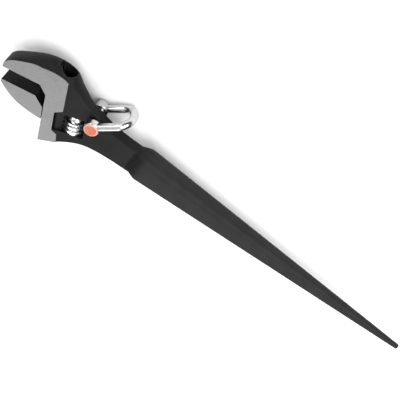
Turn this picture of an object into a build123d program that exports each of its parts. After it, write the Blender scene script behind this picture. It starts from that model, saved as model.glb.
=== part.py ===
from build123d import *
import os
from math import atan2, cos, degrees, pi, radians, sin, sqrt

# Adjustable construction wrench: forged body with a fixed jaw and a tapered spud handle,
# a sliding jaw on a round rack rod, a knurl worm on its pin with a return spring, and a
# tether shackle through the neck.
#
# Working frame, millimetres: +X runs along the handle to the spud tip, +Y to the back of the
# fixed jaw, +Z out of the front face; the handle's axis is the X axis. The jaws lie at
# JAW_ANGLE to the handle, so head features are placed in the jaw frame: j runs along the
# jaws, away from their tips, and s runs along the slide, in the opening direction.
# The finished pieces are moved so that the origin is the bottom centre of them all.

# ---------------------------------------------------------------- driving dimensions
TIP_X = 203.0              # blunt end of the spud; the wrench is 407 mm overall
JAW_ANGLE = 15.0

HEAD_HALF = 8.5            # half thickness of the ground faces
JAW_TIP_HALF = 7.25        # half thickness at the jaw tips
TAPER_START_J = -160.0     # where the taper towards the jaw tips starts
NECK_HALF = 5.25           # half thickness of the neck
NECK_EDGE_R = 1.5
JAW_TIP_J = -195.4
FIXED_FACE_S = -56.8       # contact face of the fixed jaw
JAW_GAP = 13.8             # opening between the contact faces as stored
SLIDE_J = -153.0           # slide edge of the body
HEEL_S = 3.1               # lowest point of the body, below the slide
GROUND_EDGE_J = -135.3     # where the ground face ends and the forged web begins
GROUND_STEP = 0.25         # how far the forged web lies below the ground face
NECK_START_J = -108.0      # where the web has sloped down to the neck

RACK_J = -139.1            # axis of the rack rod and its bore
BORE_R = 7.05
ROD_R = 6.7
SLOT_HALF = 3.3
WEB_HALF = 3.0
SLOT_TOP_S = -49.5
ROD_TOP_S = -60.0
ROD_BOTTOM_S = -4.0

WORM_J = -125.0            # axis of the knurl worm and its pin
WORM_R = 10.0
WORM_ROOT_R = 7.0
TOP_HUB_R = 6.8
BOTTOM_HUB_R = 6.5
THREAD_PITCH = 4.5
CREST_WIDTH = 1.5
ROOT_WIDTH = 2.6
THREAD_TOP_S = -33.8
THREAD_BOTTOM_S = -20.0
CREST_S = -31.2            # a crest of the thread, on the front side
WINDOW_TOP_S = -37.0
WINDOW_BOTTOM_S = -16.5
WINDOW_LEFT_J = -142.6
WINDOW_RIGHT_J = -114.6
WINDOW_CORNER_R = 1.2
KNURL_END_GAP = 0.2
KNURL_BORE_R = 2.8
KNURL_PIN_R = 2.5
PIN_HOLE_R = 2.52
SPRING_POCKET_R = 4.6
SPRING_POCKET_DEPTH = 6.5
SPRING_R = 3.6
SPRING_WIRE_R = 0.35

HANDLE_WIDTH = 30.0        # section of the handle at its shoulder
HANDLE_DEPTH = 22.0
HANDLE_CORNER = 8.0
TIP_DIAMETER = 4.4
SHOULDER_START_X = -76.0
SHOULDER_END_X = -60.0

SHACKLE_X = -114.9         # pin of the tether shackle, on the middle plane
SHACKLE_Y = 10.3
SHACKLE_TILT = 8.0         # the loose pin stands this far off square
BOW_ANGLE = 41.4           # direction of the bow from +X, in the pin's own plane
SHACKLE_PIN_R = 3.5
SHACKLE_HOLE_R = 4.6
WIRE_R = 3.5
FRONT_ARM_Z = 10.2
REAR_ARM_Z = -13.3
CROWN_REACH = 33.7         # from the pin's axis to the centre line of the crown
EYE_R = 6.75
EYE_THICKNESS = 6.8
PIN_HEAD_R = 6.0
PIN_HEAD_HEIGHT = 3.4
SEAL_R = 6.3
SEAL_HEIGHT = 1.1

COS = cos(radians(JAW_ANGLE))
SIN = sin(radians(JAW_ANGLE))
FAR = 120.0


# ---------------------------------------------------------------- jaw frame helpers
def jaw(j, s, z=0.0):
    """Point of the working frame from jaw coordinates."""
    return Vector(j * COS + s * SIN, j * SIN - s * COS, z)


def jaw_prism(points, half=FAR):
    """Prism through the front faces, from an outline in jaw coordinates."""
    outline = make_face(Polyline(*[jaw(j, s) for j, s in points], close=True))
    return extrude(outline, half, both=True)


def jaw_box(j_low, j_high, s_low, s_high, half=FAR):
    """Box in jaw coordinates, centred on the middle plane."""
    return jaw_prism([(j_low, s_low), (j_high, s_low), (j_high, s_high), (j_low, s_high)], half)


def slide_plane(j, s):
    """Plane at (j, s) whose normal is the slide direction; its X runs along the jaws."""
    return Plane(origin=jaw(j, s), x_dir=(COS, SIN, 0), z_dir=(SIN, -COS, 0))


def slide_cylinder(j, s_low, s_high, radius):
    """Cylinder along the slide from s_low to s_high."""
    return extrude(slide_plane(j, s_low) * Circle(radius), s_high - s_low)


def ground_slab():
    """Slab between the ground faces, thinner towards the jaw tips."""
    slope = (HEAD_HALF - JAW_TIP_HALF) / (TAPER_START_J - JAW_TIP_J)
    far_half = HEAD_HALF - slope * (TAPER_START_J + 240.0)
    profile = [(-240.0, far_half), (TAPER_START_J, HEAD_HALF), (-60.0, HEAD_HALF)]
    points = profile + [(j, -half) for j, half in reversed(profile)]
    return extrude(slide_plane(0, -FAR) * make_face(Polyline(*points, close=True)), 2 * FAR)


# ---------------------------------------------------------------- body
# Ground outline along the back of the head and the start of the neck, how far the rounded
# back stands out beyond each point at the middle plane, and the half thickness there:
# (j, s, out_j, out_s, half).
BACK_POINTS = [
    (-194.6, -61.4, 0.0, -0.6, HEAD_HALF),
    (-189.6, -65.8, -0.6, -1.0, HEAD_HALF),
    (-179.9, -69.4, -0.9, -3.2, HEAD_HALF),
    (-168.0, -73.0, -1.0, -5.7, HEAD_HALF),
    (-154.0, -75.1, 0.2, -7.4, HEAD_HALF),
    (-143.0, -74.1, 2.6, -6.8, HEAD_HALF),
    (-135.6, -70.9, 4.6, -4.3, HEAD_HALF),
    (-130.6, -64.9, 4.0, -3.0, 8.0),
    (-125.2, -59.3, 3.1, -2.5, 7.3),
    (-119.8, -54.4, 2.3, -2.2, 6.4),
    (-114.5, -50.4, 1.7, -1.8, 5.6),
]
BACK_SECTIONS = 13


def head_section(z):
    """Head blank at height z: its back swells out from the ground outline as an ellipse."""
    back = []
    for j, s, out_j, out_s, half in BACK_POINTS:
        swell = sqrt(max(0.0, 1 - (z / half) ** 2))
        back.append(jaw(j + swell * out_j, s + swell * out_s, z))
    foot = [
        back[-1],
        jaw(GROUND_EDGE_J + 16.0, -44.0, z),
        jaw(GROUND_EDGE_J, -39.5, z),
        jaw(WINDOW_LEFT_J + 0.1, -34.8, z),
        jaw(WINDOW_LEFT_J + 0.3, -14.4, z),
        jaw(-137.1, -12.0, z),
        jaw(-136.2, -2.9, z),
        jaw(SLIDE_J, HEEL_S, z),
        jaw(JAW_TIP_J, HEEL_S, z),
        jaw(JAW_TIP_J, FIXED_FACE_S, z),
        back[0],
    ]
    return make_face(Spline(*back) + Polyline(*foot))


def head_blank():
    """Head and the start of the neck, with their rounded back."""
    steps = [-90 + 180 * k / (BACK_SECTIONS - 1) for k in range(BACK_SECTIONS)]
    return loft([head_section(HEAD_HALF * sin(radians(a))) for a in steps], ruled=True)


def web_slab():
    """Slab of the forged web behind the ground faces, sloping down to the neck."""
    web_half = HEAD_HALF - GROUND_STEP
    slope_start = (GROUND_EDGE_J, web_half)
    slope_end = (NECK_START_J, NECK_HALF)
    slope = Spline(slope_start, slope_end, tangents=[(1, -0.12), (1, 0)])
    front = Line((-180.0, web_half), slope_start) + slope + Line(slope_end, (20, NECK_HALF))
    ends = Line((-180.0, -web_half), (-180.0, web_half)) + Line((20, -NECK_HALF), (20, NECK_HALF))
    profile = make_face(front + mirror(front, Plane.XZ) + ends)
    return extrude(slide_plane(0, -FAR) * profile, 2 * FAR)


def web_and_neck():
    """Forged web and neck, from the ground edge to the handle's shoulder."""
    upper = Spline(
        jaw(-142.0, -73.0),
        jaw(-135.8, -70.6),
        jaw(-130.8, -64.7),
        jaw(-125.2, -59.0),
        jaw(-119.8, -54.0),
        (-122.0, 20.0),
        (-113.1, 17.7),
        (-100.8, 14.3),
        (-86.0, 12.7),
        (-66.0, 12.6),
    )
    lower = Spline(
        (-66.0, -13.8),
        (-84.3, -14.8),
        (-99.8, -16.7),
        (-114.0, -20.7),
        (-126.4, -27.6),
        (-132.3, -32.3),
    )
    inner = Polyline(lower @ 1, jaw(-143.5, -4.0), jaw(-143.5, -66.0), upper @ 0)
    outline = upper + Line(upper @ 1, lower @ 0) + lower + inner
    slab = web_slab()
    plate = extrude(make_face(outline), HEAD_HALF * 2, both=True) & slab
    plate = fillet(neck_rims(plate), NECK_EDGE_R)
    return plate + (head_blank() & slab & jaw_box(GROUND_EDGE_J, -60.0, -FAR, FAR))


def neck_rims(plate):
    """Long edges of the neck, front and rear, outside the ground faces."""
    curved = plate.edges().filter_by(GeomType.BSPLINE)
    raised = [edge for edge in curved if abs(edge.center().Z) > NECK_HALF - 1]
    return [edge for edge in raised if slide_plane(0, 0).to_local_coords(edge.center()).X > GROUND_EDGE_J + 1]


def ground_head():
    """Head between its ground faces, as far as the web."""
    reach = jaw_box(-240.0, GROUND_EDGE_J, -FAR, FAR)
    return head_blank() & ground_slab() & reach


def handle_section(x, width, depth, corner):
    """Rounded section of the handle at x."""
    plane = Plane(origin=(x, 0, 0), x_dir=(0, 1, 0), z_dir=(1, 0, 0))
    return plane * RectangleRounded(width, depth, corner)


def handle():
    """Tapered spud handle, from its shoulder to the blunt tip."""
    taper = loft([
        handle_section(SHOULDER_END_X, HANDLE_WIDTH, HANDLE_DEPTH, HANDLE_CORNER),
        handle_section(TIP_X, TIP_DIAMETER, TIP_DIAMETER, TIP_DIAMETER / 2 - 0.05),
    ], ruled=True)
    return fillet(taper.faces().sort_by(Axis.X)[-1].edges(), 1.4)


def shoulder():
    """Smooth swelling from the flat neck to the handle's full section."""
    stations = 7
    start_width = 25.0
    start_depth = 2 * NECK_HALF - 1.2
    sections = []
    for k in range(stations):
        t = k / (stations - 1)
        blend = t * t * (3 - 2 * t)
        x = SHOULDER_START_X + t * (SHOULDER_END_X - SHOULDER_START_X)
        width = start_width + blend * (HANDLE_WIDTH - start_width)
        depth = start_depth + blend * (HANDLE_DEPTH - start_depth)
        sections.append(handle_section(x, width, depth, HANDLE_CORNER * depth / HANDLE_DEPTH))
    return loft(sections)


def wrench_body():
    """Forging: fixed jaw, head, neck and spud handle, with the head's bores and window."""
    body = ground_head() + web_and_neck() + shoulder() + handle()
    body -= jaw_prism([
        (SLIDE_J, HEEL_S + 10),
        (SLIDE_J, -48.4),
        (-159.6, FIXED_FACE_S),
        (-230.0, FIXED_FACE_S),
        (-230.0, HEEL_S + 10),
    ])
    body -= slide_cylinder(RACK_J, -110.0, 20.0, BORE_R)
    body -= jaw_box(-148.0, RACK_J, -110.0, -70.0, SLOT_HALF)
    body -= jaw_box(SLIDE_J - 2.0, RACK_J, SLOT_TOP_S, 20.0, SLOT_HALF)
    window = jaw_prism([
        (WINDOW_LEFT_J, WINDOW_TOP_S + 2.4),
        (-136.0, WINDOW_TOP_S),
        (WINDOW_RIGHT_J, WINDOW_TOP_S),
        (WINDOW_RIGHT_J, WINDOW_BOTTOM_S),
        (-136.0, WINDOW_BOTTOM_S),
        (WINDOW_LEFT_J + 0.3, WINDOW_BOTTOM_S + 1.9),
    ])
    body -= fillet(window.edges().filter_by(Axis.Z), WINDOW_CORNER_R)
    body -= slide_cylinder(WORM_J, -46.5, 10.0, PIN_HOLE_R)
    body -= Pos(SHACKLE_X, SHACKLE_Y, 0) * Cylinder(SHACKLE_HOLE_R, 40)
    return body


# ---------------------------------------------------------------- movable jaw
def rack_groove(s):
    """Cutter for one rack groove, inclined like the worm's thread."""
    floor_j = -(WORM_R + 0.4)
    open_j = -(WORM_R - 4.0)
    groove = make_face(Polyline(
        (floor_j, -1.05),
        (open_j, -1.8),
        (open_j, 1.8),
        (floor_j, 1.05),
        close=True,
    ))
    lead_angle = degrees(atan2(THREAD_PITCH, 2 * pi * (WORM_R - 0.6)))
    plane = Plane(origin=jaw(WORM_J, s), x_dir=(COS, SIN, 0), z_dir=(0, 0, 1))
    return plane * Rot(X=-lead_angle) * extrude(groove, 12, both=True)


def movable_jaw():
    """Sliding jaw with its web and round rack rod."""
    contact = FIXED_FACE_S + JAW_GAP
    upper = Polyline(jaw(-194.6, contact + 2.5), jaw(-194.6, contact), jaw(-162.0, contact),
                     jaw(-154.0, -33.8), jaw(-153.6, -21.2))
    outer = Spline(upper @ 1, jaw(-160.6, -22.1), jaw(-168.6, -23.8), jaw(-178.9, -27.5),
                   jaw(-189.2, -34.9), upper @ 0)
    block = extrude(make_face(upper + outer), HEAD_HALF + 1, both=True) & ground_slab()
    web = jaw_box(-158.0, RACK_J, -33.8, -21.2, WEB_HALF)
    rod = slide_cylinder(RACK_J, ROD_TOP_S, ROD_BOTTOM_S, ROD_R)
    rod = chamfer(rod.edges().filter_by(GeomType.CIRCLE), 0.6)
    jaw_part = block + web + rod
    first_groove = CREST_S + THREAD_PITCH / 4
    for k in range(-6, 6):
        jaw_part -= rack_groove(first_groove + k * THREAD_PITCH)
    return jaw_part


# ---------------------------------------------------------------- knurl, pin and spring
def knurl_worm():
    """Knurl: right-hand worm thread between two hubs, bored for its pin and spring."""
    top_s = WINDOW_TOP_S + KNURL_END_GAP
    bottom_s = WINDOW_BOTTOM_S - KNURL_END_GAP
    start = CREST_S - THREAD_PITCH / 4 - 1.5 * THREAD_PITCH
    path = Helix(THREAD_PITCH, 6 * THREAD_PITCH, WORM_ROOT_R)
    depth = WORM_R - WORM_ROOT_R
    floor_half = (THREAD_PITCH - ROOT_WIDTH) / 2
    slope = (ROOT_WIDTH - CREST_WIDTH) / 2 / depth
    open_half = floor_half + slope * (depth + 0.5)
    section = Plane(origin=path @ 0, x_dir=(1, 0, 0), z_dir=path % 0) * make_face(Polyline(
        (0, -floor_half),
        (depth + 0.5, -open_half),
        (depth + 0.5, open_half),
        (0, floor_half),
        close=True,
    ))
    groove = slide_plane(WORM_J, start) * sweep(section, path=path, is_frenet=True)
    thread = slide_cylinder(WORM_J, THREAD_TOP_S, THREAD_BOTTOM_S, WORM_R) - groove
    top_hub = slide_cylinder(WORM_J, top_s, THREAD_TOP_S, TOP_HUB_R)
    bottom_hub = slide_cylinder(WORM_J, THREAD_BOTTOM_S, bottom_s, BOTTOM_HUB_R)
    knurl = thread + top_hub + bottom_hub
    knurl -= slide_cylinder(WORM_J, top_s - 1, bottom_s + 1, KNURL_BORE_R)
    knurl -= slide_cylinder(WORM_J, bottom_s - SPRING_POCKET_DEPTH, bottom_s + 1, SPRING_POCKET_R)
    return knurl


def knurl_pin():
    """Pin that carries the knurl, driven in from the lower edge, with a screwdriver slot."""
    pin = slide_cylinder(WORM_J, -46.0, -8.8, KNURL_PIN_R)
    pin = chamfer(pin.edges().filter_by(GeomType.CIRCLE), 0.4)
    return pin - jaw_box(WORM_J - 4, WORM_J + 4, -10.0, -8.0, 0.5)


def knurl_spring():
    """Compression spring that takes the play out of the knurl."""
    height = SPRING_POCKET_DEPTH - 2 * SPRING_WIRE_R - 0.3
    path = Helix(height / 4, height, SPRING_R)
    wire = sweep(Plane(origin=path @ 0, z_dir=path % 0) * Circle(SPRING_WIRE_R), path=path, is_frenet=True)
    return slide_plane(WORM_J, WINDOW_BOTTOM_S - height - SPRING_WIRE_R - 0.05) * wire


# ---------------------------------------------------------------- shackle
def shackle_plane():
    """Plane of the shackle: its normal is the pin, its X points along the bow."""
    pin = Vector(sin(radians(SHACKLE_TILT)), 0, cos(radians(SHACKLE_TILT)))
    level = Plane(origin=(SHACKLE_X, SHACKLE_Y, 0), x_dir=(pin.Z, 0, -pin.X), z_dir=pin)
    return Plane(level.location * Rot(Z=BOW_ANGLE))


def shackle_bow():
    """Bent wire bow with an eye at the end of each arm."""
    crown_r = (FRONT_ARM_Z - REAR_ARM_Z) / 2
    straight = CROWN_REACH - crown_r
    middle = (FRONT_ARM_Z + REAR_ARM_Z) / 2
    path = Line((0, 0, FRONT_ARM_Z), (straight, 0, FRONT_ARM_Z))
    path += ThreePointArc(
        (straight, 0, FRONT_ARM_Z),
        (CROWN_REACH, 0, middle),
        (straight, 0, REAR_ARM_Z),
    )
    path += Line((straight, 0, REAR_ARM_Z), (0, 0, REAR_ARM_Z))
    start = Plane(origin=(0, 0, FRONT_ARM_Z), z_dir=(1, 0, 0))
    wire = sweep(start * Circle(WIRE_R), path=path)
    bow = wire
    for z in (FRONT_ARM_Z, REAR_ARM_Z):
        bow -= Pos(0, 0, z) * Cylinder(EYE_R, 2 * WIRE_R + 1)
        eye = Pos(0, 0, z) * Cylinder(EYE_R, EYE_THICKNESS)
        bow += fillet(eye.edges().filter_by(GeomType.CIRCLE), 1.0)
        bow -= Pos(0, 0, z) * Cylinder(SHACKLE_PIN_R + 0.04, 20)
    return shackle_plane() * bow


def shackle_pin():
    """Round pin through both eyes, with a low socket head behind the rear eye."""
    front_z = FRONT_ARM_Z + EYE_THICKNESS / 2
    rear_z = REAR_ARM_Z - EYE_THICKNESS / 2
    rear = Plane(origin=(0, 0, rear_z))
    shank = extrude(rear * Circle(SHACKLE_PIN_R), front_z - rear_z)
    head = extrude(rear * Circle(PIN_HEAD_R), -PIN_HEAD_HEIGHT)
    head = fillet(head.faces().sort_by(Axis.Z)[0].edges(), 1.6)
    socket = Pos(0, 0, rear_z - PIN_HEAD_HEIGHT) * extrude(RegularPolygon(2.9, 6), 2.4)
    return shackle_plane() * (shank + head - socket)


def tamper_seal():
    """Domed plastic seal over the front end of the shackle's pin."""
    front_z = FRONT_ARM_Z + EYE_THICKNESS / 2
    disc = Pos(0, 0, front_z) * Cylinder(SEAL_R, SEAL_HEIGHT, align=(Align.CENTER, Align.CENTER, Align.MIN))
    return shackle_plane() * fillet(disc.faces().sort_by(Axis.Z)[-1].edges(), 0.9)


# ---------------------------------------------------------------- pieces
PIECES = {
    "wrench_body": wrench_body,
    "movable_jaw": movable_jaw,
    "knurl_worm": knurl_worm,
    "knurl_pin": knurl_pin,
    "knurl_spring": knurl_spring,
    "shackle_bow": shackle_bow,
    "shackle_pin": shackle_pin,
    "tamper_seal": tamper_seal,
}


def common_box(pieces):
    """Lowest and highest corner of all the pieces together."""
    boxes = [piece.bounding_box() for piece in pieces]
    low = Vector(min(b.min.X for b in boxes), min(b.min.Y for b in boxes), min(b.min.Z for b in boxes))
    high = Vector(max(b.max.X for b in boxes), max(b.max.Y for b in boxes), max(b.max.Z for b in boxes))
    return low, high


def main():
    os.makedirs("parts", exist_ok=True)
    made = {name: build() for name, build in PIECES.items()}
    low, high = common_box(made.values())
    shift = Pos(-(low.X + high.X) / 2, -(low.Y + high.Y) / 2, -low.Z)
    print("shift", [round(v, 4) for v in shift.position])
    print("size", [round(v, 3) for v in high - low])
    for name, piece in made.items():
        placed = shift * piece
        print(name, len(placed.solids()), round(placed.volume, 2), placed.is_valid)
        export_step(placed, f"parts/{name}.step")


if __name__ == "__main__":
    main()
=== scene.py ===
from math import cos, radians, sin

import bpy
from mathutils import Matrix, Vector


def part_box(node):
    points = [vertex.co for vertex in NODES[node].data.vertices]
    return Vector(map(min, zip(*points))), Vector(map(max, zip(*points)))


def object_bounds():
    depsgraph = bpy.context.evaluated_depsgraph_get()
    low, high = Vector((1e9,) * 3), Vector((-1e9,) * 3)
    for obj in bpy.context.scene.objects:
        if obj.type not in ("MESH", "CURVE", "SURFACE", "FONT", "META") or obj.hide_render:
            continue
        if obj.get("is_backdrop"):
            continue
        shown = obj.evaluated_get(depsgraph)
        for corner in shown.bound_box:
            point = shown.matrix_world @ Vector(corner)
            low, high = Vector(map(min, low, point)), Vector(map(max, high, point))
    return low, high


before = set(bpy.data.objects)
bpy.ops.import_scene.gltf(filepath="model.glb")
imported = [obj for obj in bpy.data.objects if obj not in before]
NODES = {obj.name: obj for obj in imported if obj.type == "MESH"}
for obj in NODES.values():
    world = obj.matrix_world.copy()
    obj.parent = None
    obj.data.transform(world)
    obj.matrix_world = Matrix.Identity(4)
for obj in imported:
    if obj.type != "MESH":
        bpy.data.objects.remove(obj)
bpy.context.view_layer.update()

# Sizes in metres. The jaw frame lies at JAW_ANGLE to the handle: j runs along the jaws,
# away from their tips, and s along the slide, in the opening direction.
MM = 0.001
AXIS_X = 0.508 * MM          # the point that the jaw frame and the handle's axis start from
AXIS_Y = 0.6329 * MM
MID_Z = 20.5323 * MM         # middle plane of the wrench
JAW_ANGLE = radians(15)
GROUND_HALF = 8.5 * MM       # half thickness of the ground faces
GROUND_EDGE_J = -135.3 * MM  # where the ground face ends and the forged web begins
TAPER_START_J = -160.0 * MM  # where the taper towards the jaw tips starts
TAPER_SLOPE = 1.25 / 34.7
HANDLE_GREY_START_X = -72 * MM   # the oxide turns greyer between these, towards the handle
HANDLE_GREY_END_X = -52 * MM
EDGE_RADIUS = 0.5 * MM       # rounding of the forgings' sharp edges, and width of their band of wear and painted highlight
SEAL_TILT = radians(8)       # the seal's axis leans this far from +Z towards +X
SEAL_RIM_START = 4.9 * MM
SEAL_RIM_END = 5.8 * MM

# Camera, from AXIS_X, AXIS_Y and MID_Z, with the directions of its right and its back.
CAMERA_X = -67.7 * MM
CAMERA_Y = 903.8 * MM
CAMERA_Z = 871.8 * MM
CAMERA_RIGHT = (0.8106, 0.4356, -0.3915)
CAMERA_BACK = (-0.0495, 0.7170, 0.6953)
CAMERA_LENS = 135
SENSOR_WIDTH = 36
CLIP_END = 20

FLOOR_HALF = 4.0
FLOOR_GAP = 0.4 * MM         # the floor lies this far under the wrench
FLOOR_GRAIN = 20 * MM

# Name, place, target, size and power of each area light.
LIGHTS = [
    ("key", (0.7, 0.8, 1.3), (0, 0, 0), (1.3, 1.3), 30),
    ("fill", (-1.1, 0.8, 0.7), (-0.1, 0, 0), (0.8, 0.8), 8),
    ("rim", (0.1, -1.1, 0.8), (-0.05, 0, 0), (1.4, 0.5), 8),
]
WORLD_STOPS = [(0.30, 0.03), (0.72, 1.0)]    # height of the direction, and grey level there
WORLD_STRENGTH = 0.85


# ---------------------------------------------------------------- node building
class Shader:
    """Short names for the nodes that a material is built from."""

    def __init__(self, name):
        self.material = bpy.data.materials.new(name)
        self.material.use_nodes = True
        self.tree = self.material.node_tree
        self.bsdf = self.tree.nodes["Principled BSDF"]

    def put(self, socket, value):
        """Link a socket to the input, or set the input to a value."""
        if isinstance(value, bpy.types.NodeSocket):
            self.tree.links.new(value, socket)
        elif value is not None:
            socket.default_value = value

    def node(self, kind, inputs=(), **settings):
        made = self.tree.nodes.new("ShaderNode" + kind)
        for key, value in settings.items():
            setattr(made, key, value)
        for index, value in enumerate(inputs):
            self.put(made.inputs[index], value)
        return made

    def math(self, operation, *values):
        return self.node("Math", values, operation=operation).outputs[0]

    def step(self, value, low, high):
        """0 where the value is under low, 1 over high, smooth between."""
        made = self.node("MapRange", (value, low, high, 0.0, 1.0), interpolation_type="SMOOTHSTEP")
        return made.outputs[0]

    def blend(self, factor, first, second):
        """Mix of two values."""
        made = self.node("Mix", (factor,), data_type="FLOAT")
        self.put(made.inputs[2], first)
        self.put(made.inputs[3], second)
        return made.outputs[0]

    def mix(self, factor, first, second):
        """Mix of two colours."""
        made = self.node("Mix", data_type="RGBA")
        self.put(made.inputs[0], factor)
        self.put(made.inputs[6], first)
        self.put(made.inputs[7], second)
        return made.outputs[2]

    def place(self):
        """The surface point in the rest frame, as a vector socket."""
        return self.node("TexCoord").outputs["Object"]

    def split(self, vector):
        return self.node("SeparateXYZ", (vector,)).outputs

    def noise(self, vector, size, detail=3.0, rough=0.5):
        """Noise with features about size metres across."""
        made = self.node("TexNoise")
        self.put(made.inputs["Vector"], vector)
        made.inputs["Scale"].default_value = 1 / size
        made.inputs["Detail"].default_value = detail
        made.inputs["Roughness"].default_value = rough
        return made.outputs[0]

    def stretch(self, vector, along, factor, turn=0.0):
        """The vector turned about Z and squeezed along one axis, for grinding lines."""
        mapping = self.node("Mapping", (vector,), vector_type="TEXTURE")
        scale = [1.0, 1.0, 1.0]
        scale[along] = factor
        mapping.inputs["Rotation"].default_value = (0, 0, turn)
        mapping.inputs["Scale"].default_value = scale
        return mapping.outputs[0]

    def rounded(self, radius):
        """Normal with the sharp edges rounded off."""
        return self.node("Bevel", (radius,), samples=6).outputs[0]

    def bump(self, height, depth, normal=None):
        made = self.node("Bump")
        made.inputs["Strength"].default_value = 1.0
        made.inputs["Distance"].default_value = depth
        self.put(made.inputs["Height"], height)
        self.put(made.inputs["Normal"], normal)
        return made.outputs[0]

    def edges(self, radius):
        """1 on sharp edges and 0 on flat surfaces."""
        bevel = self.node("Bevel", (radius,), samples=8).outputs[0]
        flat = self.node("NewGeometry").outputs["Normal"]
        dot = self.node("VectorMath", (bevel, flat), operation="DOT_PRODUCT").outputs["Value"]
        return self.step(self.math("SUBTRACT", 1.0, dot), 0.004, 0.05)

    def set(self, **values):
        """Link or set the shader's own inputs, by name."""
        for name, value in values.items():
            self.put(self.bsdf.inputs[name.replace("_", " ")], value)


def grey(value, warm=0.0):
    """Grey of that level, a little warmer or not."""
    return (value * (1 + warm), value, value * (1 - warm), 1.0)


def ground_mask(sh, place):
    """1 on the ground side faces of the head and the jaws."""
    x, y, z = sh.split(place)
    along_x = sh.math("MULTIPLY", sh.math("SUBTRACT", x, AXIS_X), cos(JAW_ANGLE))
    along_y = sh.math("MULTIPLY", sh.math("SUBTRACT", y, AXIS_Y), sin(JAW_ANGLE))
    j = sh.math("ADD", along_x, along_y)
    height = sh.math("ABSOLUTE", sh.math("SUBTRACT", z, MID_Z))
    fall = sh.math("MULTIPLY", sh.math("MINIMUM", sh.math("SUBTRACT", j, TAPER_START_J), 0.0), TAPER_SLOPE)
    over = sh.math("SUBTRACT", height, sh.math("ADD", fall, GROUND_HALF))
    on_face = sh.step(over, -0.10 * MM, -0.04 * MM)
    left = sh.step(sh.math("MULTIPLY", j, -1.0), -GROUND_EDGE_J - 0.1 * MM, -GROUND_EDGE_J + 0.05 * MM)
    return sh.math("MULTIPLY", on_face, left)


# ---------------------------------------------------------------- materials
def forged_and_ground(name, edge_wear_and_highlight):
    """Black oxide on the forged skin, satin ground steel on the side faces of the jaws, with wear and a
    painted highlight on the sharp edges.
    """
    sh = Shader(name)
    place = sh.place()
    mask = ground_mask(sh, place)
    mottle = sh.noise(place, 14 * MM, 4.0, 0.6)
    grain = sh.noise(place, 0.9 * MM, 5.0, 0.65)
    lines = sh.noise(sh.stretch(place, 0, 18.0, JAW_ANGLE), 0.35 * MM, 3.0, 0.6)
    # Sharp edges: partly real wear of the oxide, partly a painted edge highlight.
    worn_and_highlit_edges = sh.math("MULTIPLY", sh.edges(EDGE_RADIUS), edge_wear_and_highlight)

    oxide = sh.mix(sh.step(mottle, 0.35, 0.7), grey(0.0030), grey(0.0060, 0.01))
    # Greyer oxide tone towards the handle.
    handle_grey = sh.mix(sh.step(mottle, 0.3, 0.75), grey(0.012), grey(0.017, 0.01))
    oxide = sh.mix(sh.step(sh.split(place)[0], HANDLE_GREY_START_X, HANDLE_GREY_END_X), oxide, handle_grey)
    oxide = sh.mix(sh.math("MULTIPLY", sh.step(grain, 0.55, 0.8), 0.4), oxide, grey(0.030))
    # Lighter oxide on the sharp edges: wear, and a painted highlight.
    oxide = sh.mix(sh.math("MULTIPLY", worn_and_highlit_edges, sh.step(grain, 0.35, 0.6)), oxide, grey(0.11))
    steel = sh.mix(sh.step(lines, 0.3, 0.7), grey(0.165), grey(0.225, 0.005))
    steel = sh.mix(sh.math("MULTIPLY", sh.step(mottle, 0.5, 0.8), 0.35), steel, grey(0.135, 0.02))
    # Painted highlight along the edges of the ground faces, over their wear.
    steel = sh.mix(worn_and_highlit_edges, steel, grey(0.42))

    rough_oxide = sh.math("ADD", sh.math("MULTIPLY", grain, 0.16), 0.50)
    rough_steel = sh.math("ADD", sh.math("MULTIPLY", lines, 0.22), 0.30)
    relief = sh.blend(mask, grain, sh.math("MULTIPLY", lines, 0.14))
    sh.set(
        Base_Color=sh.mix(mask, oxide, steel),
        Metallic=sh.math("MULTIPLY", mask, 0.6),
        Roughness=sh.blend(mask, rough_oxide, rough_steel),
        Normal=sh.bump(relief, 0.10 * MM, sh.rounded(EDGE_RADIUS)),
        Specular_IOR_Level=0.17,
    )
    return sh.material


def polished(name, level, rough_low, scratch_axis):
    """Bright polished steel with fine turning marks and a little dulling."""
    sh = Shader(name)
    place = sh.place()
    marks = sh.noise(sh.stretch(place, scratch_axis, 12.0, JAW_ANGLE), 0.25 * MM, 3.0, 0.6)
    haze = sh.noise(place, 5 * MM, 4.0, 0.6)
    color = sh.mix(sh.step(haze, 0.3, 0.75), grey(level), grey(level * 0.8, 0.01))
    rough = sh.math("ADD", sh.math("MULTIPLY", haze, 0.12), rough_low)
    sh.set(
        Base_Color=color,
        Metallic=1.0,
        Roughness=sh.math("ADD", rough, sh.math("MULTIPLY", marks, 0.05)),
        Normal=sh.bump(marks, 0.012 * MM, sh.rounded(0.25 * MM)),
    )
    return sh.material


def dark_steel(name):
    """Oiled dark steel of the knurl's pin."""
    sh = Shader(name)
    place = sh.place()
    grain = sh.noise(place, 0.7 * MM, 4.0, 0.6)
    sh.set(
        Base_Color=sh.mix(grain, grey(0.05), grey(0.12)),
        Metallic=0.8,
        Roughness=sh.math("ADD", sh.math("MULTIPLY", grain, 0.2), 0.3),
        Normal=sh.bump(grain, 0.03 * MM, sh.rounded(0.3 * MM)),
    )
    return sh.material


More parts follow.
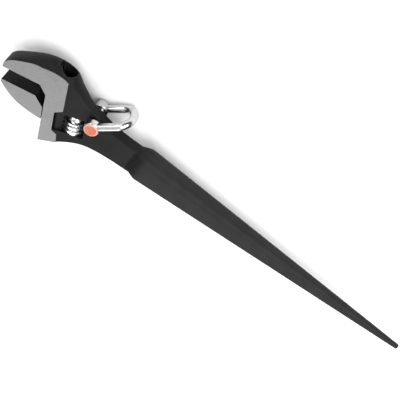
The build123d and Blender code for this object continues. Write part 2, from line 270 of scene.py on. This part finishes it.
def seal_material():
    """Orange sealing compound, paler round its rim."""
    sh = Shader("orange_seal")
    place = sh.place()
    low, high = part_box("tamper_seal")
    centre = (Vector(low) + Vector(high)) / 2
    offset = sh.node("VectorMath", (place, tuple(centre)), operation="SUBTRACT").outputs[0]
    axis = Vector((sin(SEAL_TILT), 0, cos(SEAL_TILT)))
    across = sh.node("VectorMath", (offset, tuple(axis)), operation="CROSS_PRODUCT").outputs[0]
    radius = sh.node("VectorMath", (across,), operation="LENGTH").outputs["Value"]
    blotch = sh.noise(place, 1.6 * MM, 4.0, 0.6)
    fine = sh.noise(place, 0.4 * MM, 3.0, 0.6)
    ragged = sh.math("ADD", radius, sh.math("MULTIPLY", sh.math("SUBTRACT", blotch, 0.5), 1.0 * MM))
    rim = sh.math("MULTIPLY", sh.step(ragged, SEAL_RIM_START, SEAL_RIM_END), 0.8)
    orange = sh.mix(sh.step(blotch, 0.35, 0.7), (0.44, 0.085, 0.032, 1), (0.54, 0.14, 0.062, 1))
    sh.set(
        Base_Color=sh.mix(rim, orange, (0.60, 0.44, 0.37, 1)),
        Roughness=sh.math("ADD", sh.math("MULTIPLY", fine, 0.2), 0.34),
        Normal=sh.bump(blotch, 0.18 * MM),
    )
    sh.bsdf.inputs["Subsurface Weight"].default_value = 0.1
    sh.bsdf.inputs["Subsurface Radius"].default_value = (0.002, 0.001, 0.0005)
    return sh.material


def give(node, material):
    """The material in every slot of a CAD node."""
    obj = NODES[node]
    for slot in obj.material_slots:
        slot.material = material
    if not obj.material_slots:
        obj.data.materials.append(material)


give("wrench_body", forged_and_ground("forged_body", edge_wear_and_highlight=0.55))
give("movable_jaw", forged_and_ground("forged_jaw", edge_wear_and_highlight=0.6))
give("knurl_worm", polished("bright_knurl", level=0.80, rough_low=0.10, scratch_axis=0))
give("knurl_pin", dark_steel("pin_steel"))
give("knurl_spring", polished("spring_wire", level=0.5, rough_low=0.25, scratch_axis=0))
give("shackle_bow", polished("shackle_wire", level=0.60, rough_low=0.12, scratch_axis=0))
give("shackle_pin", polished("shackle_pin_steel", level=0.52, rough_low=0.16, scratch_axis=2))
give("tamper_seal", seal_material())


# ---------------------------------------------------------------- floor, light and camera
def floor():
    """Plain pale floor just under the wrench."""
    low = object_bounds()[0]
    half = FLOOR_HALF
    z = low[2] - FLOOR_GAP
    mesh = bpy.data.meshes.new("floor")
    corners = [(-half, -half, z), (half, -half, z), (half, half, z), (-half, half, z)]
    mesh.from_pydata(corners, [], [(0, 1, 2, 3)])
    obj = bpy.data.objects.new("floor", mesh)
    bpy.context.scene.collection.objects.link(obj)
    sh = Shader("floor_paper")
    paper = sh.noise(sh.place(), FLOOR_GRAIN, 3.0)
    sh.set(Base_Color=sh.mix(paper, grey(0.90), grey(0.93)), Roughness=0.9)
    mesh.materials.append(sh.material)
    obj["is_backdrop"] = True


def area_light(name, place, target, size, power):
    """Rectangular light that faces its target."""
    data = bpy.data.lights.new(name, "AREA")
    data.shape = "RECTANGLE"
    data.size = size[0]
    data.size_y = size[1]
    data.energy = power
    obj = bpy.data.objects.new(name, data)
    direction = Vector(target) - Vector(place)
    obj.matrix_world = Matrix.Translation(place) @ direction.to_track_quat("-Z", "Y").to_matrix().to_4x4()
    bpy.context.scene.collection.objects.link(obj)


def world_light():
    """White overhead, dark near and under the horizon, so that bright metal has contrast."""
    world = bpy.data.worlds.new("studio")
    world.use_nodes = True
    tree = world.node_tree
    background = tree.nodes["Background"]
    coord = tree.nodes.new("ShaderNodeTexCoord")
    parts = tree.nodes.new("ShaderNodeSeparateXYZ")
    ramp = tree.nodes.new("ShaderNodeValToRGB")
    tree.links.new(coord.outputs["Generated"], parts.inputs[0])
    tree.links.new(parts.outputs[2], ramp.inputs[0])
    tree.links.new(ramp.outputs[0], background.inputs["Color"])
    for element, (position, level) in zip(ramp.color_ramp.elements, WORLD_STOPS):
        element.position = position
        element.color = grey(level)
    background.inputs["Strength"].default_value = WORLD_STRENGTH
    bpy.context.scene.world = world


def camera():
    """Camera of the main view, set from its right and back directions."""
    data = bpy.data.cameras.new("camera")
    data.lens = CAMERA_LENS
    data.sensor_width = SENSOR_WIDTH
    data.clip_end = CLIP_END
    obj = bpy.data.objects.new("camera", data)
    right = Vector(CAMERA_RIGHT).normalized()
    back = Vector(CAMERA_BACK).normalized()
    up = back.cross(right).normalized()
    right = up.cross(back)
    place = Vector((CAMERA_X + AXIS_X, CAMERA_Y + AXIS_Y, CAMERA_Z + MID_Z))
    turn = Matrix((right, up, back)).transposed().to_4x4()
    obj.matrix_world = Matrix.Translation(place) @ turn
    bpy.context.scene.collection.objects.link(obj)
    bpy.context.scene.camera = obj


bpy.context.scene.view_settings.view_transform = "Standard"
floor()
for light in LIGHTS:
    area_light(*light)
world_light()
camera()
